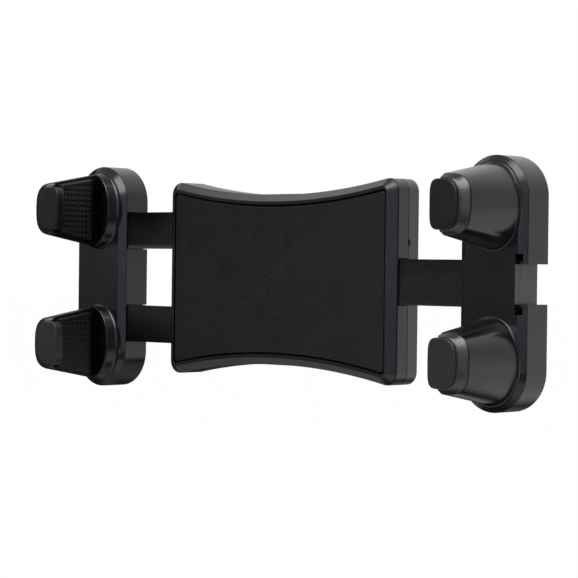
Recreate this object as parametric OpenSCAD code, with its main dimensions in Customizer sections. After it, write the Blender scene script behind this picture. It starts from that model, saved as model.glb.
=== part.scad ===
// Spring-loaded tablet holder with two sliding gripping brackets.
// +X runs along the slides, +Z is up, and -Y is the side that the tablet lies on.
// The origin is the centre of the four-hole mounting pattern on the back face.

/* [Body] */
// Width of the body
plate_w = 112; // [100:1:140]
// Height of the body at its four corners
plate_h = 71.5; // [71.5:0.5:90]
// How far the top and bottom edges dip at the middle
waist = 5.1; // [3:0.1:5.1]
// Thickness of the body
body_d = 14; // [13:0.2:20]
// Radius of the body's corners
corner_r = 4.65; // [4.4:0.05:6]
// Width of the sloped bezel, seen from the front
bezel_w = 3.8; // [2:0.1:3.9]
// Depth of the sloped bezel
bezel_d = 2.4; // [1.5:0.1:2.5]
// Flat land between the bezel and the pad's recess
bezel_land = 0.3; // [0.1:0.1:0.4]
// Wall thickness of the two housings
wall = 2; // [1.6:0.1:2.4]
// Depth of the seam behind the bezel
seam_depth = 5.6; // [5:0.1:6]
// Thickness of the front pad
pad_t = 1; // [0.6:0.1:1.2]

/* [Sliding arms] */
// Thickness of the rails
rail_t = 4; // [3.4:0.1:4.2]
// Depth of the rails' front faces behind the pad plane
rail_depth = 3.1; // [3:0.1:3.4]
// Clear height between the two rails of the forked arm
fork_gap = 21.8; // [18:0.2:22]
// Height of each rail of the forked arm
fork_rail_w = 13.9; // [12:0.1:14]
// Height of the single rail
single_rail_w = 15.8; // [13:0.2:16]
// Gap between the body and the left bracket when closed
left_gap = 25.2; // [15:0.2:40]
// Gap between the body and the right bracket when closed
right_gap = 27.9; // [15:0.2:40]
// How far each arm pulls out
travel = 42; // [20:1:42]

/* [Brackets] */
// Width of the brackets
bracket_w = 27.7; // [26:0.1:34]
// Height of the brackets
bracket_h = 85.2; // [80:0.2:110]
// Depth of the brackets without their posts
bracket_d = 12.85; // [11.5:0.05:15]
// Width of the brackets' sloped rim
rim_w = 2.9; // [2:0.1:3.4]
// Depth of the brackets' sloped rim
rim_d = 1.85; // [1:0.05:2]
// How far the brackets' faces lie behind the pad plane
bracket_setback = 0.5; // [0:0.1:1]
// Thickness of the brackets' front plate
front_plate_t = 2.3; // [1.8:0.1:2.4]
// Thickness of the brackets' side wall
bracket_wall = 1.36; // [1.2:0.02:1.8]
// How far the arm's end plate is sunk into the back of the bracket
plate_sink = 0.8; // [0.8:0.1:1.6]
// Thickness of the arm's end plate
end_plate_t = 2; // [1.6:0.1:2.4]
// Depth of the notch in the right bracket's outer edge
notch_depth = 3.85; // [3:0.05:4.5]
// Height of that notch
notch_h = 13.2; // [10:0.2:14]
// Height of the cross slot at the bottom of that notch
cross_slot_h = 20; // [16:0.2:20.4]

/* [Grip posts] */
// Distance between the two posts of a bracket
post_pitch = 51.2; // [49:0.2:54]
// How far a post's rubber tip stands out from the bracket's face
post_len = 26.1; // [22:0.1:32]
// Half width of a post's oval base
base_half_w = 11.5; // [10:0.1:12]
// Half height of a post's oval base
base_half_h = 14.3; // [12:0.1:14.6]
// Half width of a post at its rim
rim_half_w = 10.1; // [9:0.1:10.6]
// Half height of a post at its rim
rim_half_h = 9.9; // [9.2:0.1:11]
// Height of the collar round the foot of the rubber grip
collar_h = 3.1; // [2.4:0.1:3.6]
// Offset of the gripping face from the post's centre
grip_face = 3.5; // [3:0.1:4.5]
// Thickness of the rubber behind the gripping face
grip_t = 2.3; // [1.8:0.1:2.6]
// Half height of the rubber tip
tip_half_h = 8.3; // [7:0.1:8.6]
// Overhang of the rubber lip over the gripping face
lip = 2.3; // [1:0.1:2.6]
// Pitch of the knurl on the gripping face
knurl_pitch = 2; // [1.6:0.1:2.6]
// Depth of the knurl
knurl_depth = 0.35; // [0.2:0.05:0.5]

/* [Springs] */
// Outside diameter of the return springs
spring_od = 3.2; // [2.6:0.1:3.3]
// Wire diameter of the return springs
wire_d = 0.5; // [0.4:0.05:0.7]
// Number of turns of each spring, drawn out under its preload
spring_turns = 16; // [10:1:20]
// Diameter of the spring pins
pin_d = 1.5; // [1.2:0.1:1.6]

/* [Mounting pattern] */
// Distance between the mounting holes across
mount_x = 38.1; // [30:0.1:44]
// Distance between the mounting holes up
mount_z = 30.2; // [30:0.1:31]
// Bore of the brass inserts
insert_bore = 4; // [3:0.1:4]
// Outside diameter of the brass inserts
insert_od = 5.8; // [5:0.1:6]
// Length of the brass inserts
insert_len = 4.6; // [4:0.1:5]

/* [Screws] */
// Shank diameter of the self-tapping screws
screw_d = 2.5; // [2:0.1:2.6]
// Head diameter of the screws
head_d = 4.4; // [3.8:0.1:4.6]
// Head height of the screws
head_h = 1.4; // [1:0.1:1.6]

/* [Clearances] */
// Clearance of the sliding rails
slide_gap = 0.3; // [0.2:0.05:0.4]
// Clearance of parts that are assembled and stay put
fit_gap = 0.15; // [0.1:0.05:0.2]

/* [Hidden] */
$fn = 64;
eps = 0.01;
far = 30;
fine = 360;
shell_black = [0.13, 0.13, 0.14];
pad_black = [0.09, 0.09, 0.09];
rubber_black = [0.07, 0.07, 0.075];
steel = [0.62, 0.62, 0.64];
brass = [0.78, 0.62, 0.32];

// Depths along Y
front_y = -body_d;
bezel_y = front_y + bezel_d;
seam_y = bezel_y + seam_depth;
rail_front = front_y + rail_depth;
rail_back = rail_front + rail_t;
bracket_front = front_y + bracket_setback;
bracket_back = bracket_front + bracket_d;
plate_back = bracket_back - plate_sink;
plate_front = plate_back - end_plate_t;
rear_inner = -wall;
front_inner = rail_front - slide_gap;
land_y = rail_back + slide_gap;

// Outline of the body: corner circles and the two large arcs tangent to them
corner_x = plate_w / 2 - corner_r;
corner_z = plate_h / 2 - corner_r;
arc_drop = plate_h / 2 - waist - corner_z;
arc_r = (corner_x * corner_x + arc_drop * arc_drop - corner_r * corner_r) / (2 * (corner_r - arc_drop));
arc_z = plate_h / 2 - waist + arc_r;
arc_over = 0.2;
inner_x = plate_w / 2 - wall;
recess_inset = bezel_w + bezel_land;
pad_sink = 0.1;
seam_gap = 0.05;
pry_z = 12.4;
pry_h = 2.4;
pry_w = 0.7;
pry_depth = 0.6;

// Heights of the rails
fork_lo = fork_gap / 2;
fork_hi = fork_lo + fork_rail_w;
single_hi = single_rail_w / 2;
left_rails = [[fork_lo, fork_hi], [-fork_hi, -fork_lo]];
right_rails = [[-single_hi, single_hi]];
guide_z0 = single_hi + slide_gap;
guide_z1 = fork_lo - slide_gap;
outer_guide_z0 = fork_hi + slide_gap;
outer_guide_t = 1.5;
land_t = 1.4;
land_z = guide_z0 - 3.2;

// Brackets
half_w = bracket_w / 2;
end_z = bracket_h / 2 - half_w;
left_x = -plate_w / 2 - left_gap - half_w;
right_x = plate_w / 2 + right_gap + half_w;
post_z = post_pitch / 2;
rail_inner_end = inner_x - slide_gap;

// Springs, stops and their pins
stop_w = 4.4;
stop_l = 4;
stop_edge = travel - inner_x + slide_gap;
spring_z = fork_hi - 2.4;
spring_y = (land_y + rear_inner) / 2 - 0.1;
pin_r = pin_d / 2;
pin_seat_y = rail_front + 1.6;
pin_boss_t = 1.2;
pin_boss_h = 0.6;
anchor_seat = 1;
pin_offset = stop_edge + stop_l + 3.2;
anchor_x = inner_x - 4;
stop_back = rear_inner - slide_gap - 0.1;
hook_r = (spring_od - wire_d) / 2;

// Screws
screw_r = screw_d / 2;
head_r = head_d / 2;
pilot_r = screw_r + 0.02;
hole_r = screw_r + 0.15;
boss_r = screw_r + 1.25;
body_screw_x = plate_w / 2 - 8;
body_screw_z = fork_hi + slide_gap + boss_r + 0.6;
body_screw_len = 9;
body_head_sink = 1.2;
head_gap = 0.2;
insert_boss_r = insert_od / 2 + 1.7;
root_gap = 0.45;
bracket_screw_len = 9;
head_bed = 1;
post_screw_x = -3.6;
post_screw_dz = 5;
left_mid_screws = [[-6.2, 0], [6.2, 0]];
right_mid_screws = [[-4, single_hi + boss_r + 0.4], [-4, -single_hi - boss_r - 0.4]];

// Posts
loft_n = 40;
post_wall = 1.6;
rim_h = post_len - 2.3;
tip_seat_h = post_len - 4;
well_h = 1.2;
well_wall = 0.9;
well_end = 1.7;
collar_step = 2.9;
pad_inset = 0.9;
cut_x = grip_face - grip_t;
knurl_from = 7.3;
knurl_to = post_len - 4.6;
foot_recess = 1.3;
foot_end = knurl_from - 0.35;
peg_r = 1.4;
peg_h = [9, 17];

// One millimetre on from b along the line from a to b
function run_on(a, b) = b + (b - a) / abs(b[1] - a[1]);

// Solid through stations along Y, each an inset of the body's outline and the depth where it holds
module body_block(stations) {
    last = len(stations) - 1;
    y0 = stations[0][1];
    y1 = stations[last][1];
    inner_stations = [for (k = [1:1:last - 1]) stations[k]];
    cutter = concat([run_on(stations[1], stations[0])], inner_stations,
                    [run_on(stations[last - 1], stations[last])]);
    difference() {
        translate([0, y1, 0]) rotate([90, 0, 0]) linear_extrude(y1 - y0)
            polygon([[-corner_x - arc_over, corner_z], [0, arc_z], [corner_x + arc_over, corner_z],
                     [corner_x + arc_over, -corner_z], [0, -arc_z], [-corner_x - arc_over, -corner_z]]);
        for (side = [-1, 1])
            translate([0, 0, side * arc_z]) rotate([-90, 0, 0]) rotate_extrude($fn = fine)
                polygon(concat([[0, y0 - 1]], [for (s = cutter) [arc_r + s[0], s[1]]], [[0, y1 + 1]]));
    }
    translate([0, 0, -corner_z]) linear_extrude(2 * corner_z)
        polygon(concat([for (s = stations) [s[0] - plate_w / 2, s[1]]],
                       [for (k = [last:-1:0]) [plate_w / 2 - stations[k][0], stations[k][1]]]));
    for (x = [-corner_x, corner_x], z = [-corner_z, corner_z])
        translate([x, 0, z]) rotate([-90, 0, 0]) rotate_extrude()
            polygon(concat([[0, y0]], [for (s = stations) [corner_r - s[0], s[1]]], [[0, y1]]));
}

// Openings in the body's side walls for the rails, run past the wall's faces by over
module rail_windows(clearance, y0, y1, over) {
    for (r = left_rails)
        translate([-plate_w / 2 - over, y0, r[0] - clearance])
            cube([wall + 2 * over, y1 - y0, r[1] - r[0] + 2 * clearance]);
    for (r = right_rails)
        translate([inner_x - over, y0, r[0] - clearance])
            cube([wall + 2 * over, y1 - y0, r[1] - r[0] + 2 * clearance]);
}

// Places one child at each corner screw of the body
module at_body_screws() {
    for (x = [-body_screw_x, body_screw_x], z = [-body_screw_z, body_screw_z])
        translate([x, 0, z]) children();
}

// Places one child at each hole of the mounting pattern
module at_mount_holes() {
    for (x = [-mount_x / 2, mount_x / 2], z = [-mount_z / 2, mount_z / 2])
        translate([x, 0, z]) children();
}

// Cylinder along +Y from y0 to y1
module rod(r, y0, y1) {
    translate([0, y0, 0]) rotate([-90, 0, 0]) cylinder(r = r, h = y1 - y0);
}

// Pan-head screw whose head seats at the depth y and whose shank runs towards -Y
module screw(y, length) {
    difference() {
        union() {
            rod(screw_r, y - length, y);
            rod(head_r, y, y + head_h);
        }
        for (turn = [0, 90])
            translate([0, y + head_h, 0]) rotate([0, turn, 0])
                cube([head_d * 0.55, head_h, head_d * 0.14], center = true);
    }
}

// Front half of the body, with the bezel, the pad's recess and the rail guides
module front_housing() {
    color(shell_black) difference() {
        union() {
            difference() {
                body_block([[bezel_w, front_y], [0, bezel_y], [0, seam_y]]);
                body_block([[wall, front_inner], [wall, seam_y + eps]]);
            }
            guide_ribs();
            at_body_screws() rod(boss_r, front_inner - eps, seam_y);
        }
        body_block([[recess_inset, front_y - eps], [recess_inset, front_y + pad_sink + pad_t]]);
        rail_windows(slide_gap, front_inner, seam_y + eps, 1);
        at_body_screws() rod(pilot_r, seam_y - 5, seam_y + eps);
    }
}

// Long ribs that the rails slide between
module guide_ribs() {
    for (side = [-1, 1]) {
        translate([-inner_x - eps, front_inner - eps, side > 0 ? guide_z0 : -guide_z1])
            cube([2 * (inner_x + eps), rail_t + slide_gap, guide_z1 - guide_z0]);
        translate([-inner_x - eps, front_inner - eps, side > 0 ? outer_guide_z0 : -outer_guide_z0 - outer_guide_t])
            cube([2 * (inner_x + eps), rail_t + slide_gap, outer_guide_t]);
    }
}

// Thin grained pad in the front recess
module front_pad() {
    inset = recess_inset + fit_gap;
    color(pad_black) body_block([[inset, front_y + pad_sink], [inset, front_y + pad_sink + pad_t]]);
}

// Rear half of the body, with the screw bosses, the mounting bosses and the lands for the rails
module rear_housing() {
    back_edge = 0.8;
    color(shell_black) difference() {
        union() {
            difference() {
                body_block([[0, seam_y], [0, -back_edge], [back_edge, 0]]);
                body_block([[wall, seam_y - eps], [wall, rear_inner]]);
            }
            rail_windows(slide_gap - 0.1, land_y, seam_y + eps, 0);
            at_body_screws() rod(boss_r, seam_y + seam_gap, rear_inner + eps);
            mount_bosses();
            for (z = [land_z, -land_z - land_t])
                translate([-inner_x - eps, land_y, z]) cube([2 * (inner_x + eps), rear_inner - land_y + eps, land_t]);
            at_anchors() rod(pin_r + pin_boss_t, rear_inner - pin_boss_h, rear_inner + eps);
        }
        at_body_screws() {
            rod(hole_r, seam_y - 1, eps);
            rod(head_r + head_gap, -body_head_sink - head_h, eps);
        }
        at_mount_holes() rod(insert_od / 2, -insert_len, eps);
        at_anchors() rod(pin_r, rear_inner - 1, rear_inner + anchor_seat);
        translate([plate_w / 2 - pry_depth, seam_y - eps, pry_z]) cube([1, pry_w, pry_h]);
    }
}

// Bosses round the inserts, trimmed where the stops and springs of the forked arm run past
module mount_bosses() {
    boss_top = spring_z - stop_w / 2 - slide_gap;
    difference() {
        at_mount_holes() rod(insert_boss_r, land_y, rear_inner + eps);
        for (z = [boss_top, -boss_top - 2 * insert_boss_r])
            translate([-plate_w / 2, land_y - 1, z]) cube([plate_w, rear_inner - land_y + 1, 2 * insert_boss_r]);
    }
}

// Places its children at the anchors of the three springs
module at_anchors() {
    for (z = [-spring_z, spring_z]) translate([anchor_x, 0, z]) children();
    translate([-anchor_x, 0, 0]) children();
}

// Four screws that close the body
module housing_screws() {
    color(steel) at_body_screws() screw(-body_head_sink - head_h, body_screw_len - head_h);
}

// Four brass threaded inserts of the mounting pattern
module mount_inserts() {
    outer = insert_od / 2;
    groove_r = outer - 0.35;
    groove = [1.4, 1.7, 2.5, 2.8];
    edge = 0.3;
    bore = insert_bore / 2;
    color(brass) at_mount_holes() rotate([90, 0, 0]) rotate_extrude()
        polygon([[bore, 0], [outer, 0], [outer, groove[0]], [groove_r, groove[1]], [groove_r, groove[2]],
                 [outer, groove[3]], [outer, insert_len - edge], [outer - edge, insert_len], [bore, insert_len]]);
}

// Fixed pins that hold the outer ends of the springs
module spring_anchor_pins() {
    color(steel) at_anchors() rod(pin_r, land_y + 0.2, rear_inner + anchor_seat);
}

// Rail with flanges and cross ribs, open at the back, from x0 to x1 and from z0 to z1
module rail(x0, x1, z0, z1) {
    flange = 1.7;
    skin = 1.6;
    rib_t = 1.4;
    bays = max(1, round((x1 - x0) / 14));
    bay = (x1 - x0) / bays;
    difference() {
        translate([x0, rail_front, z0]) cube([x1 - x0, rail_t, z1 - z0]);
        for (i = [0:bays - 1])
            translate([x0 + i * bay + rib_t / 2, rail_front + skin, z0 + flange])
                cube([bay - rib_t, rail_t, z1 - z0 - 2 * flange]);
    }
}

// Solid stretch of a rail that carries the stop and the spring's pin
module stop_block(x0, x1, z0, z1, stop_z) {
    translate([x0, rail_front, z0]) cube([x1 - x0, rail_t, z1 - z0]);
    translate([x0, rail_back - eps, stop_z - stop_w / 2]) cube([stop_l, stop_back - rail_back + eps, stop_w]);
}

// Arm on the left side: sides is a list of rail heights and stop_zs the height of the stop on each.
// The bracket's centre is at x = centre and the rails run towards +X.
module arm(centre, sides, stop_zs, mid_screws) {
    root_front = bracket_front + front_plate_t + root_gap;
    plate_inset = bracket_wall + fit_gap;
    wall_x = centre + half_w;
    solid_x = stop_edge;
    solid_end = pin_offset + 3;
    difference() {
        union() {
            for (i = [0:len(sides) - 1]) {
                z0 = sides[i][0];
                z1 = sides[i][1];
                rail(wall_x, solid_x, z0, z1);
                rail(solid_end, rail_inner_end, z0, z1);
                stop_block(solid_x, solid_end, z0, z1, stop_zs[i]);
                translate([centre - half_w + notch_depth, root_front, z0])
                    cube([bracket_w - notch_depth, plate_front + eps - root_front, z1 - z0]);
                translate([wall_x - bracket_wall - 1, root_front, z0])
                    cube([bracket_wall + 1, plate_back - root_front, z1 - z0]);
                translate([wall_x - 2, rail_front, z0]) cube([2 + eps, rail_t, z1 - z0]);
            }
            translate([centre, 0, 0]) stadium_slab(plate_inset, plate_front, plate_inset, plate_back);
        }
        translate([centre, 0, 0]) at_bracket_screws(mid_screws) {
            rod(hole_r, plate_front - 1, plate_back + 1);
            rod(head_r + head_gap, plate_back - head_bed, plate_back + 1);
        }
        for (z = stop_zs) translate([pin_offset, 0, z]) rod(pin_r, pin_seat_y, rail_back + 1);
    }
}

// Places its children at the screws of a bracket whose tablet side is +X
module at_bracket_screws(mid_screws) {
    for (side = [-1, 1]) translate([post_screw_x, 0, side * (post_z + post_screw_dz)]) children();
    for (p = mid_screws) translate([p[0], 0, p[1]]) children();
}

// Solid between two stadium outlines of a bracket, each drawn in by its own inset
module stadium_slab(inset0, y0, inset1, y1) {
    edge0 = half_w - inset0;
    edge1 = half_w - inset1;
    translate([0, 0, -end_z]) linear_extrude(2 * end_z)
        polygon([[-edge0, y0], [edge0, y0], [edge1, y1], [-edge1, y1]]);
    for (z = [-end_z, end_z]) translate([0, y0, z]) rotate([-90, 0, 0])
        cylinder(h = y1 - y0, r1 = edge0, r2 = edge1, $fn = 128);
}

// One ring of a lofted post: the outer and the tablet side have their own half width and squareness
function post_ring(h, outer, inner, half_h, outer_n, inner_n) = [
    for (i = [0:loft_n - 1])
        let (t = 360 * i / loft_n, c = cos(t), s = sin(t),
             a = c < 0 ? outer : inner, n = c < 0 ? outer_n : inner_n)
        [sign(c) * a * pow(abs(c), 2 / n), -h, sign(s) * half_h * pow(abs(s), 2 / n)]
];

// Closed skin through a stack of rings
module loft(rings) {
    count = len(rings);
    points = [for (r = rings) each r];
    sides = [
        for (k = [0:count - 2], i = [0:loft_n - 1])
            let (j = (i + 1) % loft_n, a = k * loft_n + i, b = k * loft_n + j)
            each [[a, a + loft_n, b], [b, a + loft_n, b + loft_n]]
    ];
    bottom = [[for (i = [0:loft_n - 1]) i]];
    top = [[for (i = [loft_n - 1:-1:0]) (count - 1) * loft_n + i]];
    polyhedron(points = points, faces = concat(sides, bottom, top), convexity = 4);
}

// Share of the way from the base to the rim at the height h
function rise(h) = h / rim_h;
function mix(a, b, t) = a + (b - a) * t;

// Oval cone of a post, drawn in by an inset, between two heights
module post_cone(inset, from, to) {
    steps = [from, mix(from, to, 0.5), to];
    loft([
        for (h = steps)
            post_ring(h,
                mix(base_half_w, rim_half_w, rise(h)) - inset,
                mix(base_half_w, rim_half_w, rise(h)) - inset,
                mix(base_half_h, rim_half_h, rise(h)) - inset,
                mix(2, 2.7, rise(h)), mix(2, 3.2, rise(h)))
    ]);
}

// Outside of a post: fillet at the foot, oval cone, and the sloped tip round the rubber cap
module post_outside() {
    fillet = 0.6;
    tip_half_w = 7;
    tip_ring = 0.45;
    rim_step = 0.35;
    reveal = 0.8;
    heights = [-1, -0.05, fillet, collar_h + 0.1, rim_h * 0.6, rim_h - rim_step, rim_h, post_len - reveal];
    grows = [fillet, fillet, 0, 0, 0, 0, -0.15, 0];
    loft([
        for (k = [0:7])
            let (h = heights[k],
                 t = rise(max(0, min(h, rim_h))),
                 w = k == 7 ? tip_half_w : mix(base_half_w, rim_half_w, t) + grows[k],
                 half_h = k == 7 ? tip_half_h + tip_ring : mix(base_half_h, rim_half_h, t) + grows[k])
            post_ring(h, w, collar_in(h, w), half_h, mix(2, 2.7, t), mix(2, 3.2, t))
    ]);
}

// Half width of a post on its tablet side: the collar slopes in quickly
function collar_in(h, w) = w - collar_step * max(0, min(h / collar_h, 1));

// Plastic part of a post, with the seat for the rubber grip
module post_plastic() {
    difference() {
        post_outside();
        translate([cut_x, -post_len - 1, -far]) cube([far, post_len + 1 - collar_h, 2 * far]);
        well_shape(0, collar_h + 1);
        grip_tip(fit_gap);
        for (h = peg_h) translate([cut_x - post_wall - 1, -h, 0]) rotate([0, 90, 0])
            cylinder(r = peg_r + 0.05, h = post_wall + 2);
    }
}

// Well in the collar that takes the foot of the grip, drawn in by a clearance and up to the height to
module well_shape(inset, to) {
    well_half_w = base_half_w - collar_step - well_wall - inset;
    intersection() {
        translate([cut_x, -to, -far]) cube([far, to - well_h, 2 * far]);
        loft([for (h = [well_h - 0.5, collar_h + 1.5])
            post_ring(h, well_half_w, well_half_w, base_half_h - well_end - inset, 2, 2)]);
    }
}

// Rubber tip of a grip, grown by a clearance
module grip_tip(grow) {
    outer = 6.4 + grow;
    lip_x = grip_face + lip + grow;
    slope = 0.6;
    edge = 0.35;
    edge_h = post_len - edge;
    lip_h = post_len - 3;
    loft([
        post_ring(tip_seat_h - grow, outer, cut_x + 3 + grow, tip_half_h + grow, 2.7, 4.5),
        post_ring(lip_h, outer, lip_x, tip_half_h + grow, 2.7, 4.5),
        post_ring(edge_h, outer, lip_x - slope, tip_half_h + grow, 2.7, 4.5),
        post_ring(post_len + grow, outer - edge, lip_x - slope - edge, tip_half_h - edge + grow, 2.7, 4.5)
    ]);
}

// Rubber grip in the frame of its post
module grip_local() {
    foot_h = collar_h + 0.1;
    difference() {
        intersection() {
            post_cone(pad_inset, collar_h - 1, rim_h);
            translate([cut_x, -tip_seat_h - 1, -far]) cube([grip_t, tip_seat_h + 1 - foot_h, 2 * far]);
        }
        knurl_grooves();
        translate([grip_face - foot_recess, -foot_end, -far]) cube([foot_recess + 1, foot_end, 2 * far]);
    }
    intersection() {
        well_shape(fit_gap, foot_h + 0.5);
        translate([cut_x, -foot_h - 2, -far]) cube([grip_t - foot_recess, foot_h + 2, 2 * far]);
    }
    grip_tip(0);
    for (h = peg_h) translate([cut_x - post_wall, -h, 0]) rotate([0, 90, 0])
        cylinder(r = peg_r, h = post_wall + 0.5);
}

// Crossed grooves that leave a field of square dots on the gripping face
module knurl_grooves() {
    groove = knurl_pitch * 0.4;
    rows = floor((knurl_to - knurl_from) / knurl_pitch);
    cols = floor(2 * tip_half_h / knurl_pitch / 2);
    half_field = (cols + 0.5) * knurl_pitch;
    for (i = [0:rows])
        translate([grip_face - knurl_depth, -knurl_from - i * knurl_pitch - groove, -half_field])
            cube([2, groove, 2 * half_field]);
    for (k = [-cols - 1:cols])
        translate([grip_face - knurl_depth, -knurl_from - rows * knurl_pitch - groove, (k + 0.5) * knurl_pitch - groove / 2])
            cube([2, rows * knurl_pitch + groove, groove]);
}

// Hollow of a post, open to the inside of the bracket
module post_hollow() {
    difference() {
        post_cone(post_wall, -front_plate_t - 0.5, tip_seat_h - post_wall);
        translate([cut_x - post_wall, -post_len, -far]) cube([far, post_len + 10, 2 * far]);
    }
}

// Bracket shell with its two posts, tablet side towards +X
module bracket(sides, mid_screws) {
    inner = bracket_front + front_plate_t;
    difference() {
        union() {
            difference() {
                union() {
                    stadium_slab(rim_w, bracket_front, 0, bracket_front + rim_d);
                    stadium_slab(0, bracket_front + rim_d, 0, bracket_back);
                    for (z = [-post_z, post_z]) translate([0, bracket_front, z]) post_plastic();
                }
                stadium_slab(bracket_wall, inner, bracket_wall, bracket_back + eps);
                for (z = [-post_z, post_z]) translate([0, bracket_front, z]) post_hollow();
            }
            for (side = [-1, 1]) translate([post_screw_x, 0, side * (post_z + post_screw_dz)])
                rod(boss_r, bracket_front - tip_seat_h + post_wall - eps, plate_front);
            for (p = mid_screws) translate([p[0], 0, p[1]]) rod(boss_r, inner - eps, plate_front);
        }
        at_bracket_screws(mid_screws) rod(pilot_r, plate_front - bracket_screw_len + 2, plate_front + eps);
        for (r = sides)
            translate([half_w - bracket_wall - 1, rail_front - slide_gap, r[0] - fit_gap])
                cube([bracket_wall + 2, bracket_back - rail_front + slide_gap + 1, r[1] - r[0] + 2 * fit_gap]);
    }
}

// Rubber grip of one post
module grip(x, side, post) {
    color(rubber_black) translate([x, bracket_front, post * post_z]) scale_side(side) grip_local();
}

// Mirrors its children for the right-hand side
module scale_side(side) {
    if (side > 0) {
        mirror([1, 0, 0]) children();
    } else {
        children();
    }
}

module left_arm() {
    color(shell_black) arm(left_x, left_rails, [spring_z, -spring_z], left_mid_screws);
}

module right_arm() {
    color(shell_black) mirror([1, 0, 0]) difference() {
        arm(-right_x, right_rails, [0], right_mid_screws);
        notch_cut(-right_x, 0.1);
    }
}

// Notch in the outer edge of the right bracket, drawn with its tablet side towards +X
module notch_cut(centre, grow) {
    translate([centre - half_w - 1, bracket_front - 1, -notch_h / 2 - grow])
        cube([notch_depth + 1, bracket_d + 2, notch_h + 2 * grow]);
}

module left_bracket() {
    color(shell_black) translate([left_x, 0, 0]) bracket(left_rails, left_mid_screws);
}

module right_bracket() {
    slot_w = notch_depth - bracket_wall;
    color(shell_black) mirror([1, 0, 0]) difference() {
        translate([-right_x, 0, 0]) bracket(right_rails, right_mid_screws);
        notch_cut(-right_x, 0);
        translate([-right_x - half_w + bracket_wall, bracket_front - 1, -cross_slot_h / 2])
            cube([slot_w, front_plate_t + 2, cross_slot_h]);
    }
}

module left_bracket_screws() {
    color(steel) translate([left_x, 0, 0]) at_bracket_screws(left_mid_screws)
        screw(plate_back - head_bed, bracket_screw_len - head_h);
}

module right_bracket_screws() {
    color(steel) mirror([1, 0, 0]) translate([-right_x, 0, 0]) at_bracket_screws(right_mid_screws)
        screw(plate_back - head_bed, bracket_screw_len - head_h);
}

// Pin pressed into a rail, standing out of its back
module rail_pin(x, z) {
    translate([x, 0, z]) rod(pin_r, pin_seat_y, stop_back);
}

module left_arm_pins() {
    color(steel) {
        rail_pin(pin_offset, spring_z);
        rail_pin(pin_offset, -spring_z);
    }
}

module right_arm_pin() {
    color(steel) rail_pin(-pin_offset, 0);
}

// Extension spring along X between a moving pin at x0 and an anchor pin at x1, drawn as one swept wire
module spring(x0, x1, z) {
    eye_gap = 0.1;
    eye_run = 1.2;
    eye_r = pin_r + wire_d / 2 + eye_gap;
    steps = 10;
    sides = 6;
    coil_x0 = x0 + eye_r + eye_run;
    coil_x1 = x1 - eye_r - eye_run;
    eye_a = [for (t = [0:30:270]) [x0 + eye_r * cos(t + 90), 0, eye_r * sin(t + 90)]];
    coil = [
        for (i = [0:spring_turns * steps])
            let (t = 360 * i / steps, x = mix(coil_x0, coil_x1, i / (spring_turns * steps)))
            [x, hook_r * sin(t), hook_r * cos(t)]
    ];
    eye_b = [for (t = [0:30:270]) [x1 + eye_r * cos(180 + t), 0, eye_r * sin(180 + t)]];
    path = concat(eye_a, coil, eye_b);
    translate([0, spring_y, z]) wire(path, wire_d / 2, sides);
}

function unit(v) = v / norm(v);

// Round wire of radius r swept along a path
module wire(path, r, sides) {
    last = len(path) - 1;
    points = [
        for (i = [0:last])
            let (ahead = path[min(i + 1, last)], behind = path[max(i - 1, 0)],
                 dir = unit(ahead - behind),
                 side = unit(cross(dir, abs(dir[0]) < 0.9 ? [1, 0, 0] : [0, 0, 1])),
                 other = cross(dir, side))
            for (k = [0:sides - 1])
                path[i] + r * (cos(360 * k / sides) * side + sin(360 * k / sides) * other)
    ];
    walls = [
        for (i = [0:last - 1], k = [0:sides - 1])
            let (j = (k + 1) % sides, a = i * sides + k, b = i * sides + j)
            each [[a, a + sides, b], [b, a + sides, b + sides]]
    ];
    start = [[for (k = [0:sides - 1]) k]];
    end = [[for (k = [sides - 1:-1:0]) last * sides + k]];
    polyhedron(points = points, faces = concat(walls, start, end), convexity = 10);
}

module left_upper_spring() {
    color(steel) spring(pin_offset, anchor_x, spring_z);
}

module left_lower_spring() {
    color(steel) spring(pin_offset, anchor_x, -spring_z);
}

module right_spring() {
    color(steel) mirror([1, 0, 0]) spring(pin_offset, anchor_x, 0);
}

module left_upper_grip() { grip(left_x, -1, 1); }
module left_lower_grip() { grip(left_x, -1, -1); }
module right_upper_grip() { grip(right_x, 1, 1); }
module right_lower_grip() { grip(right_x, 1, -1); }

front_housing();
front_pad();
rear_housing();
housing_screws();
mount_inserts();
spring_anchor_pins();
left_arm();
left_arm_pins();
left_upper_spring();
left_lower_spring();
left_bracket();
left_bracket_screws();
left_upper_grip();
left_lower_grip();
right_arm();
right_arm_pin();
right_spring();
right_bracket();
right_bracket_screws();
right_upper_grip();
right_lower_grip();
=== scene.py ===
import math

import bmesh
import bpy
from mathutils import Matrix, Vector

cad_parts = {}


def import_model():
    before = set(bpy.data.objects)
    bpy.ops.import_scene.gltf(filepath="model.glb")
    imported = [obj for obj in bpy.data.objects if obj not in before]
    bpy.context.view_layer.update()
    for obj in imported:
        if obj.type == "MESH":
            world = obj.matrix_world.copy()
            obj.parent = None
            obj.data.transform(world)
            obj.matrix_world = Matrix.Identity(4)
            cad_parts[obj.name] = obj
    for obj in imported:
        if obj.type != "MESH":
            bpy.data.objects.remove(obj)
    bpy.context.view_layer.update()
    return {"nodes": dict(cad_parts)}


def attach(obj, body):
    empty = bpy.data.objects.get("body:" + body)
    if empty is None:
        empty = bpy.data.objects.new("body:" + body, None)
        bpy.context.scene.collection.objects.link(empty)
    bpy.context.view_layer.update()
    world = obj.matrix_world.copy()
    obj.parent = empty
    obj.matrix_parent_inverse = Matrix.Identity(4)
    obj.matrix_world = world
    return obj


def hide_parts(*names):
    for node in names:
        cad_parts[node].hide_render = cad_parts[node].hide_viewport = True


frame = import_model()
MM = 0.001
WHITE = (1.0, 1.0, 1.0, 1.0)

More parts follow.
